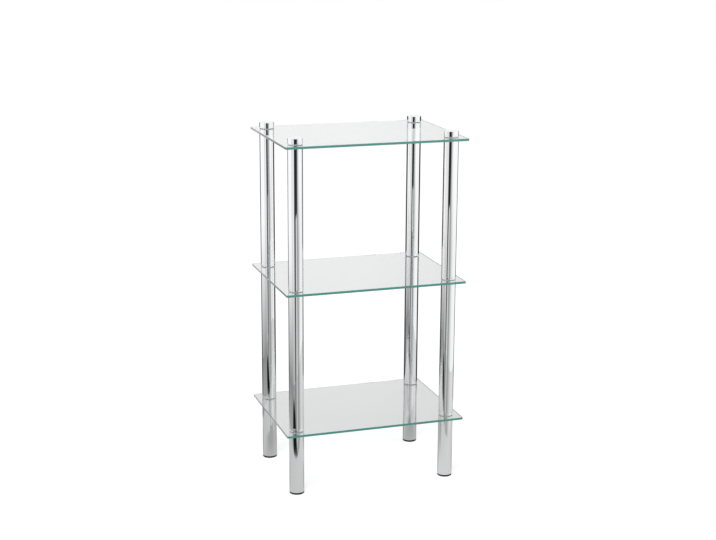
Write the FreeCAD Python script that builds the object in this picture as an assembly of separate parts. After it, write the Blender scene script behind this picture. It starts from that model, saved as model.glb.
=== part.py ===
import FreeCAD, Part
import math
import os

from FreeCAD import Vector

# Three-shelf bathroom etagere. Glass shelves are clamped between chromed tube legs.
# At each shelf a threaded stud runs through the glass and draws two tube ends together,
# with a clear washer above the glass and a clear flanged bush below it.
# Units are millimetres. +Z is up, +X is to the right, and the front faces -Y.
# The origin is on the floor, midway between the four legs.

# Glass shelves
SHELF_WIDTH = 400.0
SHELF_DEPTH = 290.0
SHELF_THICKNESS = 5.0
SHELF_CORNER_RADIUS = 3.0
SHELF_ARRIS = 0.6  # ground bevel along the glass edges and round the holes

# Tube legs
LEG_SIDE_INSET = 29.0  # from a shelf's left or right edge to the axis of a leg
LEG_FRONT_INSET = 32.0  # from a shelf's front or back edge to the axis of a leg
TUBE_DIAMETER = 32.0
TUBE_WALL = 1.0
TUBE_RIM_ROUND = 0.4
UPPER_TUBE_LENGTH = 302.0
LOWER_TUBE_LENGTH = 302.0
FOOT_TUBE_LENGTH = 132.0

# Threaded studs, and the steel inserts that are pressed into the tube ends
STUD_DIAMETER = 8.0
STUD_ENGAGEMENT = 9.0  # length of stud inside each of the two pieces that it joins
STUD_END_CHAMFER = 0.9
STUD_SOCKET_ACROSS_FLATS = 4.0
STUD_SOCKET_DEPTH = 4.0
THREAD_GAP = 0.05
INSERT_SPARE_LENGTH = 3.0  # how far an insert reaches past the end of its stud
INSERT_CHAMFER = 0.8
PRESS_GAP = 0.05

# Clear plastic washers above the glass, and flanged bushes below it
WASHER_THICKNESS = 1.0
WASHER_SETBACK = 1.0  # from the tube's surface in to the washer's edge
BUSH_BORE_GAP = 0.2
BUSH_COLLAR_WALL = 1.5
BUSH_COLLAR_SETBACK = 0.5  # from the top of the glass down to the end of the collar
GLASS_HOLE_GAP = 0.25

# Screw-on caps above the top shelf
CAP_ROOF = 3.5
CAP_BORE_SPARE = 0.5  # room above the stud's end
CAP_TOP_ROUND = 1.2
CAP_RIM_ROUND = 0.4

# Plastic glides plugged into the feet
GLIDE_FLANGE_HEIGHT = 4.0
GLIDE_FLANGE_SETBACK = 0.2
GLIDE_FLANGE_ROUND = 1.0
GLIDE_PLUG_LENGTH = 14.0
GLIDE_PLUG_WALL = 2.0
GLIDE_RIB_COUNT = 8
GLIDE_RIB_HEIGHT = 1.2
GLIDE_RIB_WIDTH = 2.0

# Sizes that follow from those above
TUBE_RADIUS = TUBE_DIAMETER / 2
TUBE_BORE_RADIUS = TUBE_RADIUS - TUBE_WALL
STUD_RADIUS = STUD_DIAMETER / 2
THREAD_RADIUS = STUD_RADIUS + THREAD_GAP
INSERT_RADIUS = TUBE_BORE_RADIUS - PRESS_GAP
INSERT_LENGTH = STUD_ENGAGEMENT + INSERT_SPARE_LENGTH
WASHER_RADIUS = TUBE_RADIUS - WASHER_SETBACK
BUSH_BORE_RADIUS = STUD_RADIUS + BUSH_BORE_GAP
BUSH_COLLAR_RADIUS = BUSH_BORE_RADIUS + BUSH_COLLAR_WALL
GLASS_HOLE_RADIUS = BUSH_COLLAR_RADIUS + GLASS_HOLE_GAP
CAP_BORE_DEPTH = STUD_ENGAGEMENT + CAP_BORE_SPARE
CAP_HEIGHT = CAP_BORE_DEPTH + CAP_ROOF
JOINT_HEIGHT = WASHER_THICKNESS + SHELF_THICKNESS + WASHER_THICKNESS
STUD_LENGTH = STUD_ENGAGEMENT + JOINT_HEIGHT + STUD_ENGAGEMENT

# Heights of the three joints: each is the top of the tube below its shelf
BOTTOM_JOINT = GLIDE_FLANGE_HEIGHT + FOOT_TUBE_LENGTH
MIDDLE_JOINT = BOTTOM_JOINT + JOINT_HEIGHT + LOWER_TUBE_LENGTH
TOP_JOINT = MIDDLE_JOINT + JOINT_HEIGHT + UPPER_TUBE_LENGTH
JOINTS = {"bottom": BOTTOM_JOINT, "middle": MIDDLE_JOINT, "top": TOP_JOINT}

# Plan positions of the leg axes
LEG_X = SHELF_WIDTH / 2 - LEG_SIDE_INSET
LEG_Y = SHELF_DEPTH / 2 - LEG_FRONT_INSET
LEGS = {
    "front_left": Vector(-LEG_X, -LEG_Y, 0),
    "front_right": Vector(LEG_X, -LEG_Y, 0),
    "back_left": Vector(-LEG_X, LEG_Y, 0),
    "back_right": Vector(LEG_X, LEG_Y, 0),
}

UP = Vector(0, 0, 1)
ORIGIN = Vector(0, 0, 0)
SAME = 1e-6  # two lengths closer than this are equal
HEXAGON = 6


def turned(profile):
    """A solid of revolution about Z from a closed outline of (radius, height) corners."""
    corners = [Vector(radius, 0, height) for radius, height in profile]
    outline = Part.makePolygon(corners + corners[:1])
    return Part.Face(outline).revolve(ORIGIN, UP, 360)


def rims(solid, radius, *heights):
    """The circular edges of a turned solid at one radius and at any of these heights."""
    found = []
    for edge in solid.Edges:
        if not isinstance(edge.Curve, Part.Circle):
            continue
        at_height = any(abs(edge.Curve.Center.z - height) < SAME for height in heights)
        if at_height and abs(edge.Curve.Radius - radius) < SAME:
            found.append(edge)
    return found


def moved(solid, place):
    """A copy of a solid, carried from the origin to a place."""
    copy = solid.copy()
    copy.translate(place)
    return copy


def at_legs(solid, height):
    """One copy of a solid on each leg's axis, at this height."""
    return [moved(solid, axis + UP * height) for axis in LEGS.values()]


def shelf():
    """A glass plate with round corners, four stud holes and a ground arris on every edge."""
    corner = Vector(-SHELF_WIDTH / 2, -SHELF_DEPTH / 2, 0)
    plate = Part.makeBox(SHELF_WIDTH, SHELF_DEPTH, SHELF_THICKNESS, corner)
    uprights = [edge for edge in plate.Edges if edge.BoundBox.ZLength > SAME]
    plate = plate.makeFillet(SHELF_CORNER_RADIUS, uprights)
    drill = Part.makeCylinder(GLASS_HOLE_RADIUS, SHELF_THICKNESS)
    plate = plate.cut(at_legs(drill, 0))
    level_edges = [edge for edge in plate.Edges if edge.BoundBox.ZLength < SAME]
    return plate.makeChamfer(SHELF_ARRIS, level_edges)


def tube(length):
    """A chromed tube with its outer rims rounded over."""
    pipe = turned(
        [
            (TUBE_BORE_RADIUS, 0),
            (TUBE_RADIUS, 0),
            (TUBE_RADIUS, length),
            (TUBE_BORE_RADIUS, length),
        ]
    )
    return pipe.makeFillet(TUBE_RIM_ROUND, rims(pipe, TUBE_RADIUS, 0, length))


def insert():
    """A turned steel plug with a threaded bore, which fills the end of a tube."""
    plug = turned(
        [
            (THREAD_RADIUS, 0),
            (INSERT_RADIUS, 0),
            (INSERT_RADIUS, INSERT_LENGTH),
            (THREAD_RADIUS, INSERT_LENGTH),
        ]
    )
    return plug.makeChamfer(INSERT_CHAMFER, rims(plug, INSERT_RADIUS, 0, INSERT_LENGTH))


def stud():
    """A threaded stud with chamfered ends and a hexagon socket in its upper end."""
    rod = turned([(0, 0), (STUD_RADIUS, 0), (STUD_RADIUS, STUD_LENGTH), (0, STUD_LENGTH)])
    rod = rod.makeChamfer(STUD_END_CHAMFER, rims(rod, STUD_RADIUS, 0, STUD_LENGTH))
    corner_radius = STUD_SOCKET_ACROSS_FLATS / 2 / math.cos(math.pi / HEXAGON)
    floor = STUD_LENGTH - STUD_SOCKET_DEPTH
    corners = []
    for side in range(HEXAGON + 1):
        angle = 2 * math.pi * side / HEXAGON
        corners.append(Vector(corner_radius * math.cos(angle), corner_radius * math.sin(angle), floor))
    socket = Part.Face(Part.makePolygon(corners)).extrude(UP * STUD_SOCKET_DEPTH)
    return rod.cut(socket)


def washer():
    """A flat clear ring that keeps a tube end off the top of the glass."""
    return turned(
        [
            (BUSH_BORE_RADIUS, 0),
            (WASHER_RADIUS, 0),
            (WASHER_RADIUS, WASHER_THICKNESS),
            (BUSH_BORE_RADIUS, WASHER_THICKNESS),
        ]
    )


def bush():
    """A clear washer with a collar, which lines the hole in the glass from below."""
    collar_top = WASHER_THICKNESS + SHELF_THICKNESS - BUSH_COLLAR_SETBACK
    return turned(
        [
            (BUSH_BORE_RADIUS, 0),
            (WASHER_RADIUS, 0),
            (WASHER_RADIUS, WASHER_THICKNESS),
            (BUSH_COLLAR_RADIUS, WASHER_THICKNESS),
            (BUSH_COLLAR_RADIUS, collar_top),
            (BUSH_BORE_RADIUS, collar_top),
        ]
    )


def cap():
    """A chromed end cap with a blind threaded bore and a softened top rim."""
    body = turned(
        [
            (THREAD_RADIUS, 0),
            (TUBE_RADIUS, 0),
            (TUBE_RADIUS, CAP_HEIGHT),
            (0, CAP_HEIGHT),
            (0, CAP_BORE_DEPTH),
            (THREAD_RADIUS, CAP_BORE_DEPTH),
        ]
    )
    body = body.makeFillet(CAP_TOP_ROUND, rims(body, TUBE_RADIUS, CAP_HEIGHT))
    return body.makeFillet(CAP_RIM_ROUND, rims(body, TUBE_RADIUS, 0))


def glide():
    """A plastic foot: a round flange under the tube and a hollow ribbed plug inside it."""
    flange_radius = TUBE_RADIUS - GLIDE_FLANGE_SETBACK
    rib_radius = TUBE_BORE_RADIUS - PRESS_GAP
    plug_radius = rib_radius - GLIDE_RIB_HEIGHT
    hollow_radius = plug_radius - GLIDE_PLUG_WALL
    plug_top = GLIDE_FLANGE_HEIGHT + GLIDE_PLUG_LENGTH
    foot = turned(
        [
            (0, 0),
            (flange_radius, 0),
            (flange_radius, GLIDE_FLANGE_HEIGHT),
            (plug_radius, GLIDE_FLANGE_HEIGHT),
            (plug_radius, plug_top),
            (hollow_radius, plug_top),
            (hollow_radius, GLIDE_FLANGE_HEIGHT),
            (0, GLIDE_FLANGE_HEIGHT),
        ]
    )
    foot = foot.makeFillet(GLIDE_FLANGE_ROUND, rims(foot, flange_radius, 0))
    rib_root = plug_radius - GLIDE_PLUG_WALL / 2
    rib = Part.makeBox(
        rib_radius - rib_root,
        GLIDE_RIB_WIDTH,
        GLIDE_PLUG_LENGTH,
        Vector(rib_root, -GLIDE_RIB_WIDTH / 2, GLIDE_FLANGE_HEIGHT),
    )
    full_plug = Part.makeCylinder(rib_radius, plug_top)
    rib = rib.common(full_plug)
    for number in range(GLIDE_RIB_COUNT):
        turned_rib = rib.copy()
        turned_rib.rotate(ORIGIN, UP, 360 * number / GLIDE_RIB_COUNT)
        foot = foot.fuse(turned_rib)
    return foot.removeSplitter()


def export(name, solids):
    """Writes one named piece, or one named group of identical pieces."""
    shape = solids[0] if len(solids) == 1 else Part.makeCompound(solids)
    shape.exportStep(os.path.join("parts", name + ".step"))


def export_shelves():
    """The shelves, and the studs, washers and bushes of the joints through them."""
    for level, joint in JOINTS.items():
        glass = joint + WASHER_THICKNESS
        export(level + "_shelf", [moved(shelf(), UP * glass)])
        export(level + "_shelf_bushes", at_legs(bush(), joint))
        export(level + "_shelf_washers", at_legs(washer(), glass + SHELF_THICKNESS))
        export(level + "_shelf_studs", at_legs(stud(), joint - STUD_ENGAGEMENT))


def export_legs():
    """The tubes, inserts, caps and glides of each leg."""
    tubes = {
        "foot": (GLIDE_FLANGE_HEIGHT, FOOT_TUBE_LENGTH),
        "lower": (BOTTOM_JOINT + JOINT_HEIGHT, LOWER_TUBE_LENGTH),
        "upper": (MIDDLE_JOINT + JOINT_HEIGHT, UPPER_TUBE_LENGTH),
    }
    for leg, axis in LEGS.items():
        export("glide_" + leg, [moved(glide(), axis)])
        export("cap_" + leg, [moved(cap(), axis + UP * (TOP_JOINT + JOINT_HEIGHT))])
        for section, (base, length) in tubes.items():
            top = base + length - INSERT_LENGTH
            export(section + "_tube_" + leg, [moved(tube(length), axis + UP * base)])
            export(section + "_tube_top_insert_" + leg, [moved(insert(), axis + UP * top)])
            if section != "foot":
                export(section + "_tube_bottom_insert_" + leg, [moved(insert(), axis + UP * base)])


os.makedirs("parts", exist_ok=True)
export_shelves()
export_legs()
print("overall height", TOP_JOINT + JOINT_HEIGHT + CAP_HEIGHT)
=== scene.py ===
# %% [markdown]
# A three-shelf bathroom etagere in glass and chrome
#
# The real piece is bought flat: three sheets of glass, twelve cut lengths of chromed tube, four caps and
# a bag of studs, washers and glides. Its solids come ready made from the frame, at their true size. What
# is left to do here is what the eye judges: how chrome mirrors a studio, how glass takes its green from
# its edge, and how the light falls.

# %% Load the frame
import math

import bmesh
import bpy
from mathutils import Matrix, Quaternion, Vector


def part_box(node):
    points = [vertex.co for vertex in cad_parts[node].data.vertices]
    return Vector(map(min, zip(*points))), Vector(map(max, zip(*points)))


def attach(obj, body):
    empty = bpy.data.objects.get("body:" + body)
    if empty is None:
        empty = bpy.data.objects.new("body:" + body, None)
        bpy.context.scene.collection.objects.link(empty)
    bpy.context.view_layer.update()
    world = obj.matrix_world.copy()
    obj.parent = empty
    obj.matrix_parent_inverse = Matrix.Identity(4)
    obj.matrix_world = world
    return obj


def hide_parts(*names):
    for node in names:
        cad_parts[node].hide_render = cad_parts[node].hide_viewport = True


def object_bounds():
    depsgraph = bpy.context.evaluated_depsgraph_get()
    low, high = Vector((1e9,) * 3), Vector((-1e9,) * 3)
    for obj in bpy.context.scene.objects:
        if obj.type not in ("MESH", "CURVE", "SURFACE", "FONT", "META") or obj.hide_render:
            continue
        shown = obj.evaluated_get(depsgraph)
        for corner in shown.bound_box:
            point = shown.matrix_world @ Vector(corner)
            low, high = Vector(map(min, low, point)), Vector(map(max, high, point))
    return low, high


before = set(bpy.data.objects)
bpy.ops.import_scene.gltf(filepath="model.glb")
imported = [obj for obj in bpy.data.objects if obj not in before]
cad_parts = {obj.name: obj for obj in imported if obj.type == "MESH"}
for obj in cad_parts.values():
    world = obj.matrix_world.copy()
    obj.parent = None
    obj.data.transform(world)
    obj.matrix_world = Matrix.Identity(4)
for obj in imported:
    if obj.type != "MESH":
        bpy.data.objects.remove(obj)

CAD_LOW, CAD_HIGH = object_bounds()
print("pieces in the frame:", len(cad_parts), "box in metres:", CAD_LOW, CAD_HIGH)

# %% [markdown]
# The camera
#
# The view is the photograph's: a long lens, a little above the top shelf, turned to the left of the
# front. A camera can be placed by its own coordinates, but a point to aim at, a direction and a distance
# are easier to reason about, because each of them changes one thing in the picture.

# %% Camera
VIEW_AZIMUTH = math.radians(-18.30)  # from straight ahead, towards the left
VIEW_ELEVATION = math.radians(14.23)
VIEW_DISTANCE = 3.2434
VIEW_ROLL = math.radians(0.31)
AIM_POINT = Vector((0.0026, -0.0009, 0.4558))
SENSOR_WIDTH = 36.0
PICTURE_WIDTH = 716
FOCAL_LENGTH_PIXELS = 1478.2


def aim_camera():
    """A camera that looks at a point close to the etagere's upright axis."""
    lens = bpy.data.cameras.new("product_camera")
    lens.sensor_width = SENSOR_WIDTH
    lens.lens = FOCAL_LENGTH_PIXELS / PICTURE_WIDTH * SENSOR_WIDTH
    camera = bpy.data.objects.new("product_camera", lens)
    bpy.context.scene.collection.objects.link(camera)
    level = math.cos(VIEW_ELEVATION)
    back = Vector(
        (
            math.sin(VIEW_AZIMUTH) * level,
            -math.cos(VIEW_AZIMUTH) * level,
            math.sin(VIEW_ELEVATION),
        )
    )
    camera.location = AIM_POINT + back * VIEW_DISTANCE
    upright = back.to_track_quat("Z", "Y")
    camera.rotation_euler = (upright @ Quaternion((0, 0, 1), VIEW_ROLL)).to_euler()
    bpy.context.scene.camera = camera
    return camera


camera = aim_camera()
print("camera stands at", camera.location, "with a lens of", round(camera.data.lens, 1), "mm")

# %% [markdown]
# Starting a finish
#
# A finish on a real piece is a coat: plating, polish, the skin of a mould. In Blender it is a material,
# and a material is a small tree of nodes. Such a tree can be put together by hand, but these finishes
# share most of their steps, so the steps are functions: one starts a tree and hands back its main
# shader, one adds a node and fills in its plain values, and one lays the finish on every piece whose
# name starts with a word.

# %% Starting a finish
def new_finish(name):
    """An empty finish: its material, its node tree and its main shader."""
    material = bpy.data.materials.new(name)
    material.use_nodes = True
    tree = material.node_tree
    return material, tree, tree.nodes["Principled BSDF"]


def add_node(tree, kind, settings=None, **inputs):
    """A node of one kind, with its settings and its unlinked inputs filled in."""
    node = tree.nodes.new(kind)
    for name, value in (settings or {}).items():
        setattr(node, name, value)
    for name, value in inputs.items():
        node.inputs[name.replace("_", " ")].default_value = value
    return node


def coat_pieces(material, *words):
    """Gives a finish to every CAD piece whose name starts with one of these words."""
    coated = []
    for name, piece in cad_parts.items():
        if name.startswith(words):
            piece.material_slots[0].material = material
            coated.append(name)
    print(material.name, "on", len(coated), "pieces")


print("plain materials that came with the frame:", len(bpy.data.materials))

# %% [markdown]
# Patterns at their real size
#
# No real surface is quite even, so each finish has a pattern or two: buffing marks, haze, grain.
# Pictures could carry them, but noise needs no picture and never repeats. It is read over the object's
# own metres and squeezed on each axis, so a pattern has its real size on every piece. A pattern then
# sets a number, a colour or a fine relief.

# %% Patterns at their real size
CELLS_PER_METRE = 1.0  # of noise, before it is squeezed


def stretched_noise(tree, squeeze, **inputs):
    """Noise over the object's own metres, squeezed by a scale on each axis."""
    place = add_node(tree, "ShaderNodeTexCoord")
    squeezed = add_node(tree, "ShaderNodeMapping", Scale=squeeze)
    noise = add_node(tree, "ShaderNodeTexNoise", Scale=CELLS_PER_METRE, **inputs)
    tree.links.new(place.outputs["Object"], squeezed.inputs["Vector"])
    tree.links.new(squeezed.outputs["Vector"], noise.inputs["Vector"])
    return noise.outputs["Fac"]


def between(tree, factor, low, high):
    """A number that runs from low to high as a factor runs from 0 to 1."""
    spread = add_node(tree, "ShaderNodeMapRange", To_Min=low, To_Max=high)
    tree.links.new(factor, spread.inputs["Value"])
    return spread.outputs["Result"]


def blend_colours(tree, factor, first, second):
    """A colour that runs from first to second as a factor runs from 0 to 1."""
    mix = add_node(tree, "ShaderNodeMix", {"data_type": "RGBA"})
    mix.inputs["A"].default_value = (*first, 1)
    mix.inputs["B"].default_value = (*second, 1)
    tree.links.new(factor, mix.inputs["Factor"])
    return mix.outputs["Result"]


def relief(tree, shader, height, strength, depth):
    """Fine relief on a surface, from a height between 0 and 1 and a depth in metres."""
    bump = add_node(tree, "ShaderNodeBump", Strength=strength, Distance=depth)
    tree.links.new(height, bump.inputs["Height"])
    tree.links.new(bump.outputs["Normal"], shader.inputs["Normal"])


print("plain noise has", CELLS_PER_METRE, "cell to the metre, so a squeeze of 100 makes cells of 10 mm")

# %% [markdown]
# Chrome plate
#
# The tubes and caps are steel with a bright chrome plate. Nearly all that is seen on them is the studio
# around them, so the finish itself is quiet: a cool grey metal, a polish that changes a little along the
# tube from the buffing wheel, and a ripple of a few microns, which keeps the long reflections from being
# ruled lines. The noise is squeezed so that it runs long along the tube and short around it, as drawn
# tube does.

# %% Chrome plate
CHROME_DARK = (0.83, 0.84, 0.85)
CHROME_LIGHT = (0.88, 0.885, 0.89)
CHROME_ROUGHNESS = (0.012, 0.035)
BUFFING = (90, 90, 6)
PLATING_CLOUD = (12, 12, 5)
DRAWN_RIPPLE = (40, 40, 8)
RIPPLE_STRENGTH = 0.08
RIPPLE_DEPTH = 0.00004


def chrome_plate():
    """Bright plating over drawn and buffed tube."""
    material, tree, shader = new_finish("chrome_plate")
    shader.inputs["Metallic"].default_value = 1.0
    buffing = stretched_noise(tree, BUFFING, Detail=3.0, Roughness=0.6)
    cloud = stretched_noise(tree, PLATING_CLOUD, Detail=2.0)
    ripple = stretched_noise(tree, DRAWN_RIPPLE, Detail=1.0)
    tone = blend_colours(tree, cloud, CHROME_DARK, CHROME_LIGHT)
    tree.links.new(tone, shader.inputs["Base Color"])
    tree.links.new(between(tree, buffing, *CHROME_ROUGHNESS), shader.inputs["Roughness"])
    relief(tree, shader, ripple, RIPPLE_STRENGTH, RIPPLE_DEPTH)
    return material


coat_pieces(
    chrome_plate(),
    "foot_tube_front", "foot_tube_back", "lower_tube_front", "lower_tube_back",
    "upper_tube_front", "upper_tube_back", "cap",
)

# %% [markdown]
# Finding the edge of the glass
#
# A sheet of float glass is clear through its face and green through its edge, because a look into the
# edge goes through a hand's length of glass. The edge could have a material of its own, but the sheet is
# one solid with one material, so the shader finds the edge by itself: where the surface looks neither up
# nor down, it is the ground edge. The inside of that edge doesn't count, because it is seen through the
# face.

# %% Finding the edge of the glass
FACE_MIN_UPRIGHT = 0.9  # faces whose normal is more upright than this are the sheet's two faces


def edge_mask(tree):
    """1 on the outside of the ground edge, its arrises and the drilled holes, and 0 elsewhere."""
    surface = add_node(tree, "ShaderNodeNewGeometry")
    split = add_node(tree, "ShaderNodeSeparateXYZ")
    upright = add_node(tree, "ShaderNodeMath", {"operation": "ABSOLUTE"})
    below = add_node(tree, "ShaderNodeMath", {"operation": "LESS_THAN"})
    below.inputs[1].default_value = FACE_MIN_UPRIGHT
    outside = add_node(tree, "ShaderNodeMath", {"operation": "SUBTRACT", "use_clamp": True})
    tree.links.new(surface.outputs["True Normal"], split.inputs["Vector"])
    tree.links.new(split.outputs["Z"], upright.inputs[0])
    tree.links.new(upright.outputs["Value"], below.inputs[0])
    tree.links.new(below.outputs["Value"], outside.inputs[0])
    tree.links.new(surface.outputs["Backfacing"], outside.inputs[1])
    return outside.outputs["Value"]


print("edge: what is tilted by more than", round(math.degrees(math.acos(FACE_MIN_UPRIGHT))), "degrees")

# %% [markdown]
# Colour of the edge
#
# Straight on, the edge is a deep green, a little cloudy from the grinding stone, so a fine noise runs
# from a deeper green to a paler one. Seen at a slant it takes a painted grey reflection of the room, and
# a painted light makes it palest at the back. A layer weight node gives the slant. The real cause of the
# green is the long path inside the glass, which would take more bounces of light than a render spends,
# so a plain colour is the short cut.

# %% Colour of the edge
EDGE_DEEP = (0.054, 0.264, 0.212)
EDGE_PALE = (0.100, 0.388, 0.322)
# painted grey reflection of the room, laid on the edge at a slant
EDGE_PAINTED_REFLECTION = (0.30, 0.39, 0.375)
# painted light that makes the slanted edge paler towards the back
EDGE_PAINTED_LIGHT_BACK = (0.78, 0.81, 0.81)
SLANT_START = 0.25
SLANT_END = 0.75
GRINDING = (700, 700, 2500)
SHELF_HALF_DEPTH = CAD_HIGH.y


def object_axis(tree, axis):
    """One of the object's own coordinates, in metres."""
    place = add_node(tree, "ShaderNodeTexCoord")
    split = add_node(tree, "ShaderNodeSeparateXYZ")
    tree.links.new(place.outputs["Object"], split.inputs["Vector"])
    return split.outputs[axis]


def edge_colour(tree):
    """Green straight on, a painted grey reflection at a slant, paled towards the back by painted light."""
    grinding = stretched_noise(tree, GRINDING, Detail=2.0)
    # the slant decides where the painted grey reflection takes the place of the green
    slant = add_node(tree, "ShaderNodeLayerWeight")
    slanted = add_node(tree, "ShaderNodeMapRange", From_Min=SLANT_START, From_Max=SLANT_END)
    # painted light: the slanted edge grows paler from front to back
    painted_back_light = add_node(
        tree, "ShaderNodeMapRange",
        From_Min=-SHELF_HALF_DEPTH, From_Max=SHELF_HALF_DEPTH,
    )
    tree.links.new(slant.outputs["Facing"], slanted.inputs["Value"])
    tree.links.new(object_axis(tree, "Y"), painted_back_light.inputs["Value"])
    green = blend_colours(tree, grinding, EDGE_DEEP, EDGE_PALE)
    grey = blend_colours(tree, painted_back_light.outputs["Result"], EDGE_PAINTED_REFLECTION, EDGE_PAINTED_LIGHT_BACK)
    mix = add_node(tree, "ShaderNodeMix", {"data_type": "RGBA"})
    tree.links.new(slanted.outputs["Result"], mix.inputs["Factor"])
    tree.links.new(green, mix.inputs["A"])
    tree.links.new(grey, mix.inputs["B"])
    return mix.outputs["Result"]


# the paling towards the back is painted light
print("the slanted edge grows paler over", round(2 * SHELF_HALF_DEPTH, 3), "m from front to back")

# %% [markdown]
# Light through clear pieces
#
# Clear glass and plastic throw hardly any shadow, but a path tracer gives them a dark one, because it
# can't aim at a lamp through a bend. Caustics would mend that at a high price in samples. The cheap way
# is to let shadow rays alone go straight through: the light path node names them, and a mix shader gives
# them a transparent surface, which takes away a little light.

# %% Light through clear pieces
SHELF_SHADOW = (0.93, 0.96, 0.95, 1)  # what a face of a shelf leaves of the light
NO_SHADOW = (1, 1, 1, 1)


def let_lamps_through(tree, shader, shadow):
    """Shadow rays pass the surface, so that clear pieces cast no dark shadow."""
    ray = add_node(tree, "ShaderNodeLightPath")
    clear = add_node(tree, "ShaderNodeBsdfTransparent", Color=shadow)
    mix = add_node(tree, "ShaderNodeMixShader")
    output = tree.nodes["Material Output"]
    tree.links.new(ray.outputs["Is Shadow Ray"], mix.inputs["Fac"])
    tree.links.new(shader.outputs["BSDF"], mix.inputs[1])
    tree.links.new(clear.outputs["BSDF"], mix.inputs[2])
    tree.links.new(mix.outputs["Shader"], output.inputs["Surface"])


print("green light left under one shelf:", round(SHELF_SHADOW[1] ** 2, 2))

# %% [markdown]
# Shelf glass
#
# One shader covers the whole sheet. The face is clear, with the faint ripple of the float bath, and a
# little volume absorption gives it its tint. At the edge the same shader turns to the edge's colour, and
# it is duller and lets less light through, as ground glass does.

# %% Shelf glass
SHELVES = ("bottom_shelf", "middle_shelf", "top_shelf")
GLASS_INDEX = 1.52
GLASS_FACE = (0.985, 0.997, 0.992)
GLASS_TINT = (0.35, 0.80, 0.70, 1.0)
GLASS_DENSITY = 3.0  # absorption for each metre of glass
EDGE_CLEARNESS = 0.35
EDGE_ROUGHNESS = 0.22
FLOAT_RIPPLE = (9, 9, 9)
FLOAT_STRENGTH = 0.1
FLOAT_DEPTH = 0.0001


def shelf_glass():
    """Clear float glass with a ground green edge."""
    material, tree, shader = new_finish("shelf_glass_clear")
    shader.inputs["IOR"].default_value = GLASS_INDEX
    edge = edge_mask(tree)
    ripple = stretched_noise(tree, FLOAT_RIPPLE, Detail=1.0)
    colour = add_node(tree, "ShaderNodeMix", {"data_type": "RGBA"})
    colour.inputs["A"].default_value = (*GLASS_FACE, 1)
    tree.links.new(edge_colour(tree), colour.inputs["B"])
    tree.links.new(edge, colour.inputs["Factor"])
    tree.links.new(colour.outputs["Result"], shader.inputs["Base Color"])
    tree.links.new(between(tree, edge, 1.0, EDGE_CLEARNESS), shader.inputs["Transmission Weight"])
    tree.links.new(between(tree, edge, 0.0, EDGE_ROUGHNESS), shader.inputs["Roughness"])
    relief(tree, shader, ripple, FLOAT_STRENGTH, FLOAT_DEPTH)
    let_lamps_through(tree, shader, SHELF_SHADOW)
    tint = add_node(tree, "ShaderNodeVolumeAbsorption", Color=GLASS_TINT, Density=GLASS_DENSITY)
    tree.links.new(tint.outputs["Volume"], tree.nodes["Material Output"].inputs["Volume"])
    return material


glass = shelf_glass()
for shelf in SHELVES:
    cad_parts[shelf].material_slots[0].material = glass
print(glass.name, "on", SHELVES)

# %% [markdown]
# Clear washers and bushes
#
# Glass never touches steel here. A clear washer lies above the sheet at each leg, and a clear bush with
# a flange lines the hole and carries the sheet from below. They are soft moulded plastic: clear, but a
# little milky and duller than glass. Half of the light goes through and half is scattered, which is
# cheaper than a cloudy volume and looks the same on a ring this thin.

# %% Clear washers and bushes
PLASTIC_INDEX = 1.47
PLASTIC_CLEARNESS = 0.5
PLASTIC_MILKY = (0.89, 0.91, 0.91)
PLASTIC_CLEAR = (0.96, 0.97, 0.97)
PLASTIC_ROUGHNESS = (0.12, 0.28)
HAZE = (350, 350, 350)
HAZE_STRENGTH = 0.1
HAZE_DEPTH = 0.00003


def clear_plastic():
    """Soft moulded plastic, clear with a slight haze."""
    material, tree, shader = new_finish("clear_washer_plastic")
    shader.inputs["IOR"].default_value = PLASTIC_INDEX
    shader.inputs["Transmission Weight"].default_value = PLASTIC_CLEARNESS
    haze = stretched_noise(tree, HAZE, Detail=2.0)
    tone = blend_colours(tree, haze, PLASTIC_MILKY, PLASTIC_CLEAR)
    tree.links.new(tone, shader.inputs["Base Color"])
    tree.links.new(between(tree, haze, *PLASTIC_ROUGHNESS), shader.inputs["Roughness"])
    relief(tree, shader, haze, HAZE_STRENGTH, HAZE_DEPTH)
    let_lamps_through(tree, shader, NO_SHADOW)
    return material


coat_pieces(
    clear_plastic(),
    "bottom_shelf_washers", "middle_shelf_washers", "top_shelf_washers",
    "bottom_shelf_bushes", "middle_shelf_bushes", "top_shelf_bushes",
)

# %% [markdown]
# Black glides
#
# A plug of black plastic closes each foot, so that it slides on tiles without a scratch. Moulded plastic
# has a fine spark-eroded grain, and wear shows as a greyer, duller tone. The grain is far too fine to
# model, so it is relief in the shader.

# %% Black glides
GLIDE_BLACK = (0.004, 0.004, 0.0045)
GLIDE_RUBBED = (0.012, 0.012, 0.0125)
GLIDE_ROUGHNESS = (0.58, 0.75)
GLIDE_GLOSS = 0.1
GRAIN = (2200, 2200, 2200)
RUBBING = (160, 160, 160)
GRAIN_STRENGTH = 0.35
GRAIN_DEPTH = 0.00005


def glide_plastic():
    """Black moulded plastic with a fine grain."""
    material, tree, shader = new_finish("black_glide_plastic")
    shader.inputs["Specular IOR Level"].default_value = GLIDE_GLOSS
    grain = stretched_noise(tree, GRAIN, Detail=2.0)
    rubbing = stretched_noise(tree, RUBBING, Detail=4.0)
    tone = blend_colours(tree, rubbing, GLIDE_BLACK, GLIDE_RUBBED)
    tree.links.new(tone, shader.inputs["Base Color"])
    tree.links.new(between(tree, rubbing, *GLIDE_ROUGHNESS), shader.inputs["Roughness"])
    relief(tree, shader, grain, GRAIN_STRENGTH, GRAIN_DEPTH)
    return material


coat_pieces(glide_plastic(), "glide")

# %% [markdown]
# Steel inserts
#
# A turned steel plug is pressed into each tube end, and the studs screw into it. It is zinc plated: a
# pale grey metal with fine turning lines. The lines run round the axis that it was turned about, so
# their noise is squeezed hard along that axis and hardly at all across it.

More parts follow.
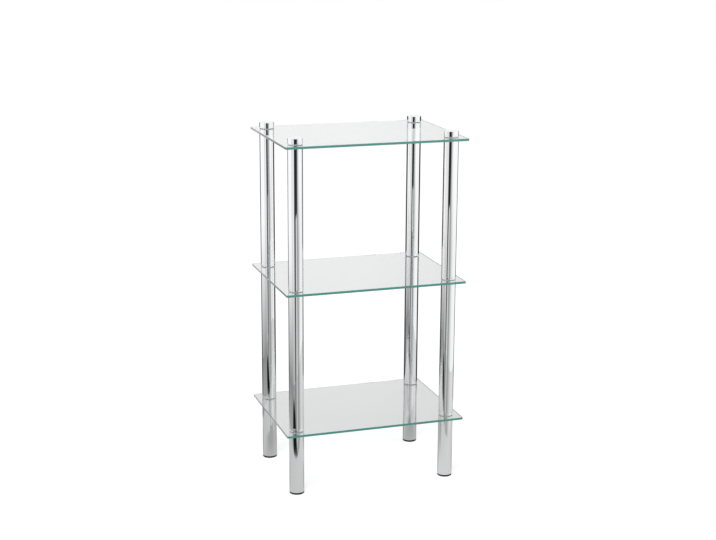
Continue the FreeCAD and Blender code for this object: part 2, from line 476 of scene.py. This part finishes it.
# %% Steel inserts
INSERT_DARK = (0.52, 0.53, 0.54)
INSERT_LIGHT = (0.64, 0.65, 0.66)
TURNED_ROUGHNESS = (0.22, 0.42)
TURNING = (60, 60, 4000)
ZINC_PATCHES = (180, 180, 180)
TURNING_STRENGTH = 0.2
TURNING_DEPTH = 0.00003


def turned_steel(name, dark, light):
    """Zinc plated steel with fine turning lines."""
    material, tree, shader = new_finish(name)
    shader.inputs["Metallic"].default_value = 1.0
    turning = stretched_noise(tree, TURNING, Detail=2.0)
    plating = stretched_noise(tree, ZINC_PATCHES, Detail=3.0)
    tree.links.new(blend_colours(tree, plating, dark, light), shader.inputs["Base Color"])
    tree.links.new(between(tree, turning, *TURNED_ROUGHNESS), shader.inputs["Roughness"])
    relief(tree, shader, turning, TURNING_STRENGTH, TURNING_DEPTH)
    return material


coat_pieces(
    turned_steel("turned_insert_steel", INSERT_DARK, INSERT_LIGHT),
    "foot_tube_top", "lower_tube_top", "lower_tube_bottom", "upper_tube_top", "upper_tube_bottom",
)

# %% [markdown]
# Where the legs stand
#
# Every joint lies on the upright axis of a leg. The axes could be written down as numbers, but then a
# change in the solids would leave the studs beside their holes. So they are measured, from the boxes of
# the caps.

# %% Where the legs stand
LEGS = ("front_left", "front_right", "back_left", "back_right")


def leg_axes():
    """The centre of each leg, from its cap."""
    axes = []
    for leg in LEGS:
        low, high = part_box("cap_" + leg)
        axes.append(Vector(((low.x + high.x) / 2, (low.y + high.y) / 2)))
    return axes


LEG_AXES = leg_axes()
for leg, axis in zip(LEGS, LEG_AXES):
    print("leg", leg, "stands at", round(axis.x, 4), round(axis.y, 4))

# %% [markdown]
# Thread and socket
#
# Twelve headless screws hold the etagere together, four at each sheet of glass. In the solids they are
# smooth rods. Here they get their thread, which shows through the clear bushes. Two short functions give
# the form: how far the thread stands out at a turn and a height, with both ends drawn in for the lead
# chamfer, and how far the wall of the hexagon socket lies from the middle.

# %% Thread and socket
THREAD_PITCH = 0.00125
THREAD_DEPTH = 0.0007
LEAD_CHAMFER = 0.0009
SOCKET_ACROSS_FLATS = 0.004
SOCKET_DEPTH = 0.004


def thread_radius(turn, height, length, radius):
    """The screw's radius at a share of a turn and a height above its lower end."""
    phase = (height / THREAD_PITCH - turn) % 1.0
    flank = abs(2 * phase - 1)
    crest = radius - THREAD_DEPTH * (1 - flank)
    from_end = min(height, length - height)
    return min(crest, radius - max(0.0, LEAD_CHAMFER - from_end))


def hexagon_radius(turn):
    """The distance from the centre of the socket to its hexagon."""
    sixth = math.radians(60)
    angle = (turn * math.tau + sixth / 2) % sixth - sixth / 2
    return SOCKET_ACROSS_FLATS / 2 / math.cos(angle)


first_corner = 1 / 12  # of a turn, from the middle of a flat
print("socket across its corners:", round(2 * hexagon_radius(first_corner) * 1000, 2), "mm")

# %% [markdown]
# Skin of a stud
#
# A thread could be a screw modifier on a profile, but a stack of rings is simpler to close. Each ring of
# points is the rod's circle, drawn in by the thread. The socket goes on with the same rings, in over the
# rim and down to its floor, so the skin stays one closed sheet.

# %% Skin of a stud
POINTS_AROUND = 36
RINGS_PER_PITCH = 6


def add_ring(mesh, axis, height, radius_at):
    """A ring of points about an upright axis."""
    ring = []
    for index in range(POINTS_AROUND):
        turn = index / POINTS_AROUND
        radius = radius_at(turn)
        angle = turn * math.tau
        spot = (axis.x + radius * math.cos(angle), axis.y + radius * math.sin(angle), height)
        ring.append(mesh.verts.new(spot))
    return ring


def add_stud(mesh, axis, bottom, top, radius):
    """One threaded rod with a hexagon socket in its upper end, as a closed skin."""
    length = top - bottom
    count = round(length / THREAD_PITCH * RINGS_PER_PITCH)
    rings = []
    for step in range(count + 1):
        height = length * step / count
        rings.append(
            add_ring(
                mesh, axis, bottom + height,
                lambda turn: thread_radius(turn, height, length, radius),
            )
        )
    rings.append(add_ring(mesh, axis, top, hexagon_radius))
    rings.append(add_ring(mesh, axis, top - SOCKET_DEPTH, hexagon_radius))
    for lower, upper in zip(rings, rings[1:]):
        for here in range(POINTS_AROUND):
            following = (here + 1) % POINTS_AROUND
            mesh.faces.new((lower[here], lower[following], upper[following], upper[here]))
    mesh.faces.new(list(reversed(rings[0])))
    mesh.faces.new(rings[-1])


print("rings stand", round(THREAD_PITCH / RINGS_PER_PITCH * 1000, 3), "mm apart")

# %% [markdown]
# Threaded studs
#
# The four studs of a sheet make one piece, as they do in the frame. They take their place, their length
# and their radius from the box of the rods that they replace, so they fit whatever size those have.
# Their zinc is a little darker and yellower than that of the inserts.

# %% Threaded studs
STUD_DARK = (0.46, 0.46, 0.45)
STUD_LIGHT = (0.60, 0.60, 0.58)


def threaded_studs(shelf, material):
    """The four studs of one shelf, in place of their plain rods."""
    low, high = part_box(shelf + "_studs")
    radius = high.x - max(axis.x for axis in LEG_AXES)
    skin = bmesh.new()
    for axis in LEG_AXES:
        add_stud(skin, axis, low.z, high.z, radius)
    bmesh.ops.recalc_face_normals(skin, faces=skin.faces)
    mesh = bpy.data.meshes.new(shelf + "_threaded_studs")
    skin.to_mesh(mesh)
    skin.free()
    mesh.materials.append(material)
    piece = bpy.data.objects.new(shelf + "_threaded_studs", mesh)
    bpy.context.scene.collection.objects.link(piece)
    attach(piece, "root")
    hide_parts(shelf + "_studs")
    return piece


stud_steel = turned_steel("zinc_stud_steel", STUD_DARK, STUD_LIGHT)
for shelf in SHELVES:
    studs = threaded_studs(shelf, stud_steel)
    print(studs.name, "has", len(studs.data.polygons), "faces")

# %% [markdown]
# Tones of the floor
#
# The floor is a plain pale sheet that ends in white. Near the feet, where the etagere stands in its own
# shade, it is a pale grey, and it grows paler further out. A painted picture could do that, but a ramp
# along the distance from the middle needs no picture and has no end.

# %% Tones of the floor
FLOOR_GLOW = (
    # distance from the middle in metres, white that doesn't depend on light
    (0.20, 0.68),
    (0.60, 0.72),
    (1.20, 0.78),
)
FLOOR_TONES_AND_SHADE = (
    # distance from the middle in metres, tone through glass, with painted shade near the feet
    (0.30, 0.64),
    (0.80, 0.69),
    (1.70, 0.755),
    (4.60, 0.81),
)


def distance_ramp(tree, stops):
    """A grey that changes with the distance from the etagere's upright axis."""
    reach = stops[-1][0]
    spot = add_node(tree, "ShaderNodeNewGeometry")
    flat = add_node(tree, "ShaderNodeVectorMath", {"operation": "MULTIPLY"})
    flat.inputs[1].default_value = (1, 1, 0)
    length = add_node(tree, "ShaderNodeVectorMath", {"operation": "LENGTH"})
    share = add_node(tree, "ShaderNodeMapRange", From_Max=reach)
    ramp = add_node(tree, "ShaderNodeValToRGB")
    tree.links.new(spot.outputs["Position"], flat.inputs[0])
    tree.links.new(flat.outputs["Vector"], length.inputs[0])
    tree.links.new(length.outputs["Value"], share.inputs["Value"])
    tree.links.new(share.outputs["Result"], ramp.inputs["Fac"])
    points = ramp.color_ramp.elements
    while len(points) < len(stops):
        points.new(1.0)
    for point, (distance, tone) in zip(points, stops):
        point.position = distance / reach
        point.color = (tone, tone, tone, 1)
    return ramp.outputs["Color"]


print("tone through glass:", FLOOR_TONES_AND_SHADE[0][1], "at the feet and", FLOOR_TONES_AND_SHADE[-1][1], "far out")

# %% [markdown]
# Dusk on the floor
#
# The main lamp stands on the left, so the floor grows darker to the right, and through the glass the
# right ends of the shelves take a slightly deeper tone. The dot product of a place and a direction says
# how far the place lies along that direction, and a map range node turns that into a share of light.

# %% Dusk on the floor
FLOOR_DUSK_DIRECTION = (0.949, -0.314, 0)  # away from the key lamp
FLOOR_DUSK_START = 0.0  # metres along that direction, where the floor starts to darken
FLOOR_DUSK_END = 0.8
FLOOR_DUSK = 0.74  # share of its tone that the floor keeps from there on


def dusk_to_the_right(tree):
    """A share of light that falls off to the right, away from the key lamp."""
    spot = add_node(tree, "ShaderNodeNewGeometry")
    sideways = add_node(tree, "ShaderNodeVectorMath", {"operation": "DOT_PRODUCT"})
    sideways.inputs[1].default_value = FLOOR_DUSK_DIRECTION
    share = add_node(
        tree, "ShaderNodeMapRange",
        From_Min=FLOOR_DUSK_START, From_Max=FLOOR_DUSK_END, To_Min=1.0, To_Max=FLOOR_DUSK,
    )
    tree.links.new(spot.outputs["Position"], sideways.inputs[0])
    tree.links.new(sideways.outputs["Value"], share.inputs["Value"])
    return share.outputs["Result"]


print("the floor keeps", FLOOR_DUSK, "of its tone", FLOOR_DUSK_END, "m to the right")

# %% [markdown]
# Finish of the floor
#
# The camera sees the floor as nearly plain white, with a share that takes real light, so the etagere
# keeps a soft shadow under its feet. Glass sees it by other rays, and they get its grey tone, with painted
# shade near the feet and a painted dusk to the right. A light path node tells the rays apart. From below
# the floor is clear, so that the underside can be looked at too.

# %% Finish of the floor
FLOOR_MATT = 0.40  # share of the light that falls on the floor


def pale_floor():
    """White to the camera, softly shaded, and pale grey through glass."""
    material, tree, shader = new_finish("pale_floor")
    tree.nodes.remove(shader)
    ray = add_node(tree, "ShaderNodeLightPath")
    glow = add_node(tree, "ShaderNodeEmission")
    matt = add_node(tree, "ShaderNodeBsdfDiffuse", Color=(FLOOR_MATT, FLOOR_MATT, FLOOR_MATT, 1))
    seen = add_node(tree, "ShaderNodeAddShader")
    mirrored = add_node(tree, "ShaderNodeEmission")
    polished = add_node(tree, "ShaderNodeMath", {"operation": "MAXIMUM"})
    mix = add_node(tree, "ShaderNodeMixShader")
    side = add_node(tree, "ShaderNodeNewGeometry")
    clear = add_node(tree, "ShaderNodeBsdfTransparent")
    sided = add_node(tree, "ShaderNodeMixShader")
    tree.links.new(distance_ramp(tree, FLOOR_GLOW), glow.inputs["Color"])
    tree.links.new(glow.outputs["Emission"], seen.inputs[0])
    tree.links.new(matt.outputs["BSDF"], seen.inputs[1])
    # the tone through glass carries painted shade near the feet and a painted dusk to the right
    tree.links.new(distance_ramp(tree, FLOOR_TONES_AND_SHADE), mirrored.inputs["Color"])
    tree.links.new(dusk_to_the_right(tree), mirrored.inputs["Strength"])
    tree.links.new(ray.outputs["Is Glossy Ray"], polished.inputs[0])
    tree.links.new(ray.outputs["Is Transmission Ray"], polished.inputs[1])
    tree.links.new(polished.outputs["Value"], mix.inputs["Fac"])
    tree.links.new(seen.outputs["Shader"], mix.inputs[1])
    tree.links.new(mirrored.outputs["Emission"], mix.inputs[2])
    tree.links.new(side.outputs["Backfacing"], sided.inputs["Fac"])
    tree.links.new(mix.outputs["Shader"], sided.inputs[1])
    tree.links.new(clear.outputs["BSDF"], sided.inputs[2])
    tree.links.new(sided.outputs["Shader"], tree.nodes["Material Output"].inputs["Surface"])
    return material


floor_finish = pale_floor()
print(floor_finish.name, "has", len(floor_finish.node_tree.nodes), "nodes")

# %% [markdown]
# Laying the floor
#
# The sheet lies a hair below the glides, because two faces at one height would fight for the same
# pixels. It belongs to the studio and not to the etagere.

# %% Laying the floor
FLOOR_REACH = 14.0
FLOOR_DROP = 0.0002  # how far the floor lies below the glides


def stage_piece(name, mesh, material):
    """An object that belongs to the studio and not to the etagere."""
    mesh.materials.append(material)
    piece = bpy.data.objects.new(name, mesh)
    bpy.context.scene.collection.objects.link(piece)
    return piece


def lay_floor():
    """A square sheet just under the glides."""
    sheet = bmesh.new()
    bmesh.ops.create_grid(sheet, x_segments=1, y_segments=1, size=FLOOR_REACH)
    mesh = bpy.data.meshes.new("floor")
    sheet.to_mesh(mesh)
    sheet.free()
    floor = stage_piece("floor", mesh, floor_finish)
    floor.location.z = CAD_LOW.z - FLOOR_DROP
    return floor


floor = lay_floor()
print("floor lies at", floor.location.z)

# %% [markdown]
# What chrome sees: places and tones
#
# Chrome is a mirror, so a photographer builds a tent of white cloth round it, with a slit for the
# camera, and the metal shows the tent. Here the tent is a few cards. A place in it is easiest to give by
# an angle and a distance, as on a walk round the etagere, and a tone by straight lines or soft steps
# between a few stops.

# %% Places and tones
def floor_spot(azimuth, distance):
    """A place on the floor, by its angle from straight ahead and its distance from the middle."""
    angle = math.radians(azimuth)
    return distance * math.sin(angle), -distance * math.cos(angle)


def ease(value, start, end):
    """0 before start, 1 after end, and a soft step between."""
    share = min(1.0, max(0.0, (value - start) / (end - start)))
    return share * share * (3 - 2 * share)


def along(value, stops):
    """Straight lines between stops of (place, tone)."""
    for (here, tone), (there, next_tone) in zip(stops, stops[1:]):
        if value <= there:
            share = max(0.0, (value - here) / (there - here))
            return tone + (next_tone - tone) * share
    return stops[-1][1]


def steps_between(start, end, step):
    """Evenly spaced values from start to end."""
    count = max(1, round(abs(end - start) / step))
    return [start + (end - start) * index / count for index in range(count + 1)]


print("a metre straight ahead:", floor_spot(0, 1), "a quarter of the way up a soft step:", ease(0.25, 0, 1))

# %% [markdown]
# Light for mirrors only
#
# Each point of a card carries a tone and a shine, kept on the mesh as a colour attribute. The card's
# shader gives out the tone as light and mirrors by the shine. The cards are clear to a ray that hasn't
# met metal on its way: the light path node counts the mirrors that a ray has met, and its singular
# output tells the perfectly smooth glass, which isn't to count, from metal.

# %% Light for mirrors only
CARD_ROUGHNESS = 0.08


def toned_light():
    """Tone and shine of a card, for rays that have met metal, and clear to all others."""
    material, tree, shader = new_finish("toned_light")
    tree.nodes.remove(shader)
    tone = add_node(tree, "ShaderNodeAttribute", {"attribute_name": "tone"})
    glow = add_node(tree, "ShaderNodeEmission")
    polish = add_node(tree, "ShaderNodeBsdfAnisotropic", Roughness=CARD_ROUGHNESS)
    both = add_node(tree, "ShaderNodeAddShader")
    clear = add_node(tree, "ShaderNodeBsdfTransparent")
    ray = add_node(tree, "ShaderNodeLightPath")
    off_glass = add_node(tree, "ShaderNodeMath", {"operation": "MULTIPLY"})
    off_metal = add_node(tree, "ShaderNodeMath", {"operation": "SUBTRACT", "use_clamp": True})
    mix = add_node(tree, "ShaderNodeMixShader")
    tree.links.new(tone.outputs["Color"], glow.inputs["Color"])
    tree.links.new(tone.outputs["Alpha"], polish.inputs["Color"])
    tree.links.new(glow.outputs["Emission"], both.inputs[0])
    tree.links.new(polish.outputs["BSDF"], both.inputs[1])
    tree.links.new(ray.outputs["Is Reflection Ray"], off_glass.inputs[0])
    tree.links.new(ray.outputs["Is Singular Ray"], off_glass.inputs[1])
    tree.links.new(ray.outputs["Glossy Depth"], off_metal.inputs[0])
    tree.links.new(off_glass.outputs["Value"], off_metal.inputs[1])
    tree.links.new(off_metal.outputs["Value"], mix.inputs["Fac"])
    tree.links.new(clear.outputs["BSDF"], mix.inputs[1])
    tree.links.new(both.outputs["Shader"], mix.inputs[2])
    tree.links.new(mix.outputs["Shader"], tree.nodes["Material Output"].inputs["Surface"])
    return material


TONED_LIGHT = toned_light()
print(TONED_LIGHT.name, "has", len(TONED_LIGHT.node_tree.nodes), "nodes")

# %% [markdown]
# Cards and hanging cloth
#
# A card is a grid of points, row by row. A picture could give it its tones, but a short function of the
# place is easier to change and stays smooth at any size. The cards throw no shadow and light nothing but
# metal, so the lamps can be set as if there were no tent. Cloth is a card that curves round the etagere.

# %% Cards and hanging cloth
CLOTH_STEP_UP = 0.08
CLOTH_STEP_ROUND = 3  # degrees
NO_SHINE = 0.0


def mirror_card(name, rows):
    """A card for mirrors, from rows of (x, y, z, tone, shine)."""
    spots = [spot for row in rows for spot in row]
    width = len(rows[0])
    faces = []
    for row in range(len(rows) - 1):
        for column in range(width - 1):
            corner = row * width + column
            faces.append((corner, corner + 1, corner + width + 1, corner + width))
    mesh = bpy.data.meshes.new(name)
    mesh.from_pydata([spot[:3] for spot in spots], [], faces)
    shade = mesh.color_attributes.new("tone", "FLOAT_COLOR", "POINT")
    for point, spot in zip(shade.data, spots):
        tone, shine = spot[3:]
        point.color = (tone, tone, tone, shine)
    card = stage_piece(name, mesh, TONED_LIGHT)
    card.visible_camera = False
    card.visible_diffuse = False
    card.visible_shadow = False
    tones = [spot[3] for spot in spots]
    print(name, "has", len(faces), "faces, tones", round(min(tones), 2), "to", round(max(tones), 2))
    return card


def hang_cloth(name, distance, reach, heights, tone_at):
    """Cloth that hangs round the etagere, from one azimuth to another."""
    rows = []
    for height in steps_between(*heights, CLOTH_STEP_UP):
        row = []
        for azimuth in steps_between(*reach, CLOTH_STEP_ROUND):
            spot = floor_spot(azimuth, distance)
            row.append((*spot, height, tone_at(azimuth, height), NO_SHINE))
        rows.append(row)
    mirror_card(name, rows)


print("points of cloth:", CLOTH_STEP_UP, "m apart in height,", CLOTH_STEP_ROUND, "degrees apart round")

# %% [markdown]
# Tent walls
#
# Two white walls curve round the etagere at arm's length. The slit towards the camera is wider than the
# lens needs, and a dark hem hangs on its left. In the upper tubes the slit and the hem are the black
# streak down the middle. The left wall goes grey towards the floor, and its cloth is a little dimmer
# beside the slit. The right wall grows dark towards the slit, most of all high up, where less light
# reaches it.

# %% Tent walls
TENT_RADIUS = 0.96
WALL_HEIGHTS = (0.0, 1.6)
WHITE_CLOTH = 1.12
LEFT_WALL_END = -136.0
HEM_LEFT = -39.5
SLIT_LEFT = -21.5
SLIT_RIGHT = -5.0
RIGHT_WALL_END = 102.0
LEFT_FOOT_TONES = ((-100, 0.36), (-72, 0.30), (-45, 0.55))
LEFT_HEAD_TONES = ((-76, WHITE_CLOTH), (-66, 0.84), (-45, 0.94))
LEFT_HEAD_START = 0.36  # metres above the floor
RIGHT_LOW_TONES = ((SLIT_RIGHT, 0.34), (7, 0.38), (19, 0.63), (32, 0.85), (47, 1.05))
RIGHT_HIGH_TONES = ((SLIT_RIGHT, 0.12), (7, 0.60), (19, 0.93), (32, WHITE_CLOTH))
RIGHT_RISE = (0.32, 0.56)  # heights between which the low tones turn into the high ones
HEM_TONES = ((0.0, 0.17), (0.3, 0.08), (0.5, 0.04))


def left_wall_tone(azimuth, height):
    """Grey at the foot, white above, and dimmer beside the slit."""
    foot = along(azimuth, LEFT_FOOT_TONES)
    head = along(azimuth, LEFT_HEAD_TONES)
    return along(height, ((0.0, foot), (LEFT_HEAD_START, head)))


def right_wall_tone(azimuth, height):
    """White, and darker beside the slit."""
    low = along(azimuth, RIGHT_LOW_TONES)
    high = along(azimuth, RIGHT_HIGH_TONES)
    return low + (high - low) * ease(height, *RIGHT_RISE)


def hem_tone(azimuth, height):
    """The dark edge of the cloth, a little paler near the floor."""
    return along(height, HEM_TONES)


hang_cloth("left_wall", TENT_RADIUS, (LEFT_WALL_END, HEM_LEFT), WALL_HEIGHTS, left_wall_tone)
hang_cloth("left_hem", TENT_RADIUS, (HEM_LEFT, SLIT_LEFT), WALL_HEIGHTS, hem_tone)
hang_cloth("right_wall", TENT_RADIUS, (SLIT_RIGHT, RIGHT_WALL_END), WALL_HEIGHTS, right_wall_tone)

# %% [markdown]
# Black flag and strips
#
# Black cloth is how a photographer draws on chrome. A flag hangs above the lens, because the top glass
# throws the look of the back caps up there. Two narrow strips stand close to the back right leg and give
# it a firm outline, where it would fade into the white. Rays that come out of glass don't see the
# strips, or they would show as grey bands in the shelves.

# %% Black flag and strips
BLACK_CLOTH = 0.02
FLAG_DISTANCE = 3.1
FLAG_REACH = (-30, 8)
FLAG_HEIGHTS = (1.05, 1.5)
STRIP_DISTANCE = 0.13
STRIP_HEIGHTS = (0.12, CAD_HIGH.z)
STRIPS = {
    # azimuths of a strip's two edges, seen from the back right leg
    "right_strip": (82, 101),
    "left_strip": (-135, -121),
}


def flag_tone(azimuth, height):
    """The same black all over."""
    return BLACK_CLOTH


def stand_strip(name, edges):
    """A narrow black strip, upright beside the back right leg."""
    leg = LEG_AXES[LEGS.index("back_right")]
    rows = []
    for height in STRIP_HEIGHTS:
        row = []
        for azimuth in edges:
            across, ahead = floor_spot(azimuth, STRIP_DISTANCE)
            row.append((leg.x + across, leg.y + ahead, height, BLACK_CLOTH, NO_SHINE))
        rows.append(row)
    strip = mirror_card(name, rows)
    strip.visible_transmission = False


hang_cloth("flag", FLAG_DISTANCE, FLAG_REACH, FLAG_HEIGHTS, flag_tone)
for name, edges in STRIPS.items():
    stand_strip(name, edges)

# %% [markdown]
# Board under the feet
#
# The camera looks down a little, so the tubes mirror the floor: the lower a point on a tube, the nearer
# the floor that it shows. The feet stand on a pale matt board, an oval with a soft rim, and behind each
# leg lies its own soft shade. A lamp could throw that shade, but on a card that gives out light it has
# to be drawn.

# %% Board under the feet
BOARD_MIDDLE = Vector((0.05, 0.02))
BOARD_HALF_LENGTH = 0.58
BOARD_HALF_WIDTH = 0.41
BOARD_RIM = (1.03, 0.97)  # shares of the oval, between which the board begins
LEG_SHADE = 0.35  # how much darker the board is right behind a leg
LEG_SHADE_REACH = 0.28
LEG_SHADE_FULL = LEG_SHADE_REACH / 3
SHADE_DIRECTION = Vector((-math.sin(VIEW_AZIMUTH), math.cos(VIEW_AZIMUTH)))  # away from the slit
SHADE_SPREAD = (0.15, 0.6)  # cosines of the angle to that direction, from no shade to full shade
ON_THE_AXIS = 0.001  # stands in for shorter distances, so that nothing is divided by zero


def oval_share(from_middle, half_length, half_width):
    """0 in the middle of an oval, 1 on its line, and more outside."""
    return math.hypot(from_middle.x / half_length, from_middle.y / half_width)


def board_share(spot):
    """1 on the oval board, 0 past its rim."""
    return ease(oval_share(spot - BOARD_MIDDLE, BOARD_HALF_LENGTH, BOARD_HALF_WIDTH), *BOARD_RIM)


def leg_shade(spot):
    """How dark the board is behind the legs, where their own soft shadows fall."""
    darkest = 0.0
    for axis in LEG_AXES:
        from_leg = spot - axis
        facing = from_leg.dot(SHADE_DIRECTION) / max(from_leg.length, ON_THE_AXIS)
        near = ease(from_leg.length, LEG_SHADE_REACH, LEG_SHADE_FULL)
        darkest = max(darkest, ease(facing, *SHADE_SPREAD) * near)
    return LEG_SHADE * darkest


print("board in the middle:", board_share(BOARD_MIDDLE), "at a metre:", board_share(Vector((0, 1))))

# %% [markdown]
# Dark ovals
#
# Two dark ovals lie on the tent floor on the left, and they make a short black flame on three of the
# legs. A dark thing could be modelled there, but curved chrome shows it so squeezed that a turned oval
# with a soft rim does.

# %% Dark ovals
DARK_OVALS = (
    # middle, turn in degrees, half length, half width
    (Vector((-0.50, -0.40)), 14, 0.21, 0.15),
    (Vector((-0.31, -0.425)), 34, 0.14, 0.032),
)
DARK_OVAL_RIM = (1.15, 0.85)  # shares of the oval, between which a dark oval begins


def dark_oval_share(spot):
    """1 in the middle of a dark oval, 0 past its rim."""
    darkest = 0.0
    for middle, turn, half_length, half_width in DARK_OVALS:
        from_middle = spot - middle
        from_middle.rotate(Matrix.Rotation(-math.radians(turn), 2))
        share = oval_share(from_middle, half_length, half_width)
        darkest = max(darkest, ease(share, *DARK_OVAL_RIM))
    return darkest


first_oval = DARK_OVALS[0][0]
print("stand at its first foot:", dark_oval_share(first_oval), "under the shelves:", dark_oval_share(Vector((0, 0))))

# %% [markdown]
# Tones round the tent floor
#
# Past the board comes a darker, polished floor, which shows the walls and the slit once more, so the
# long lines on the upper tubes go on down the lower ones. Outside the slit it ends in a dark room.
# Behind the etagere it is dark too, and that draws the thin lines down the sides of each tube. The tones
# are stops round the etagere, as on a clock, and they are what to turn when a line on a tube sits wrong.

# %% Tones round the tent floor
FLOOR_SHINE = 0.40
OUTSIDE_TONE = 0.32
ROOM_START = 3.0
ROOM_TONE = 0.012
DARK_OVAL_TONE = 0.01
IN_FRONT = 90  # azimuths nearer to straight ahead than this lie in front
ROUND_THE_TENT = (
    # azimuth, own tone of the polished floor
    (-180, 0.50),
    (-178, 0.50),
    (-171, 0.04),
    (-137, 0.04),
    (-119, 0.15),
    (-60, 0.15),
    (-20, 0.20),
    (10, 0.21),
    (45, 0.37),
    (89, 0.40),
    (103, 0.04),
    (140, 0.04),
    (154, 0.50),
    (180, 0.50),
)
ROUND_THE_BOARD = (
    # azimuth, tone of the board
    (-180, 0.52),
    (-110, 0.60),
    (-50, 0.64),
    (0, 0.68),
    (45, 0.74),
    (80, 0.66),
    (130, 0.52),
    (180, 0.52),
)


def tent_floor_look(azimuth, distance):
    """The tone and the shine of the floor."""
    spot = Vector(floor_spot(azimuth, distance))
    tone = along(azimuth, ROUND_THE_TENT)
    shine = FLOOR_SHINE if LEFT_WALL_END < azimuth < RIGHT_WALL_END else NO_SHINE
    if distance > TENT_RADIUS and abs(azimuth) < IN_FRONT:
        tone = OUTSIDE_TONE
    if distance > ROOM_START and abs(azimuth) < IN_FRONT:
        tone, shine = ROOM_TONE, NO_SHINE
    dark_oval, board = dark_oval_share(spot), board_share(spot)
    board_tone = along(azimuth, ROUND_THE_BOARD) * (1 - leg_shade(spot))
    # two dark ovals darken the tent floor on the left
    tone += (DARK_OVAL_TONE - tone) * dark_oval
    tone += (board_tone - tone) * board
    return tone, shine * (1 - dark_oval) * (1 - board)


print("tone and shine outside the slit:", tent_floor_look(0, 2 * TENT_RADIUS))

# %% [markdown]
# Tent floor
#
# The floor of the tent is a round card just above the pale floor. Its rings of points grow apart with
# the distance, because the foot of a tube shows each centimetre of the floor near it, and the top shows
# metres.

# %% Tent floor
TENT_FLOOR_LIFT = 0.001
TENT_FLOOR_REACH = 60.0
FIRST_RING = 0.02
RING_GROWTH = 1.035
FLOOR_STEP_ROUND = 2  # degrees


def spread_tent_floor():
    """A round sheet just above the floor, with closer rings near the feet."""
    level = CAD_LOW.z + TENT_FLOOR_LIFT
    rows = []
    distance = FIRST_RING
    while distance < TENT_FLOOR_REACH:
        row = []
        for azimuth in steps_between(-180, 180, FLOOR_STEP_ROUND):
            spot = floor_spot(azimuth, distance)
            row.append((*spot, level, *tent_floor_look(azimuth, distance)))
        rows.append(row)
        distance *= RING_GROWTH
    mirror_card("tent_floor", rows)


spread_tent_floor()

# %% [markdown]
# White world
#
# A white studio is white wherever one looks. The world is that white to the camera, to chrome and to
# glass, and about half as bright for the light that it throws, so colours come out as they were mixed. A
# light path node tells a look from light.

# %% White world
WORLD_FILL = 0.55


def studio_world():
    """White to the eye and to mirrors, dimmer as a source of light."""
    world = bpy.data.worlds.new("studio_world")
    bpy.context.scene.world = world
    world.use_nodes = True
    tree = world.node_tree
    ray = add_node(tree, "ShaderNodeLightPath")
    looks = add_node(tree, "ShaderNodeMath", {"operation": "MAXIMUM"})
    sight = add_node(tree, "ShaderNodeMath", {"operation": "MAXIMUM"})
    tree.links.new(ray.outputs["Is Camera Ray"], looks.inputs[0])
    tree.links.new(ray.outputs["Is Glossy Ray"], looks.inputs[1])
    tree.links.new(looks.outputs["Value"], sight.inputs[0])
    tree.links.new(ray.outputs["Is Transmission Ray"], sight.inputs[1])
    background = tree.nodes["Background"]
    background.inputs["Color"].default_value = (1, 1, 1, 1)
    strength = between(tree, sight.outputs["Value"], WORLD_FILL, 1.0)
    tree.links.new(strength, background.inputs["Strength"])
    return world


print(studio_world().name, "throws", WORLD_FILL, "of the light that it shows")

# %% [markdown]
# Lamps
#
# The studio light is soft and plain. A large lamp above, to the front and left, adds a direction, and a
# weaker one on the right fills. Large lamps make soft shadows. Mirrors and glass don't see them, because
# the tent and the white world are what they show. The standard view transform leaves each tone as it was
# mixed.

# %% Lamps
LAMPS = {
    # place, width in metres, watts
    "key_lamp": ((-1.6, -1.8, 2.6), 1.6, 60),
    "fill_lamp": ((2.2, -1.0, 1.8), 1.4, 18),
}


def soft_lamp(name, place, size, watts):
    """A large square lamp that looks at the middle of the etagere."""
    light = bpy.data.lights.new(name, "AREA")
    light.size = size
    light.energy = watts
    lamp = bpy.data.objects.new(name, light)
    bpy.context.scene.collection.objects.link(lamp)
    lamp.location = place
    towards = AIM_POINT - Vector(place)
    lamp.rotation_euler = towards.to_track_quat("-Z", "Y").to_euler()
    lamp.visible_camera = False
    lamp.visible_glossy = False
    lamp.visible_transmission = False
    print(name, "hangs", round(towards.length, 2), "m from the etagere")


for name, settings in LAMPS.items():
    soft_lamp(name, *settings)
bpy.context.scene.view_settings.view_transform = "Standard"
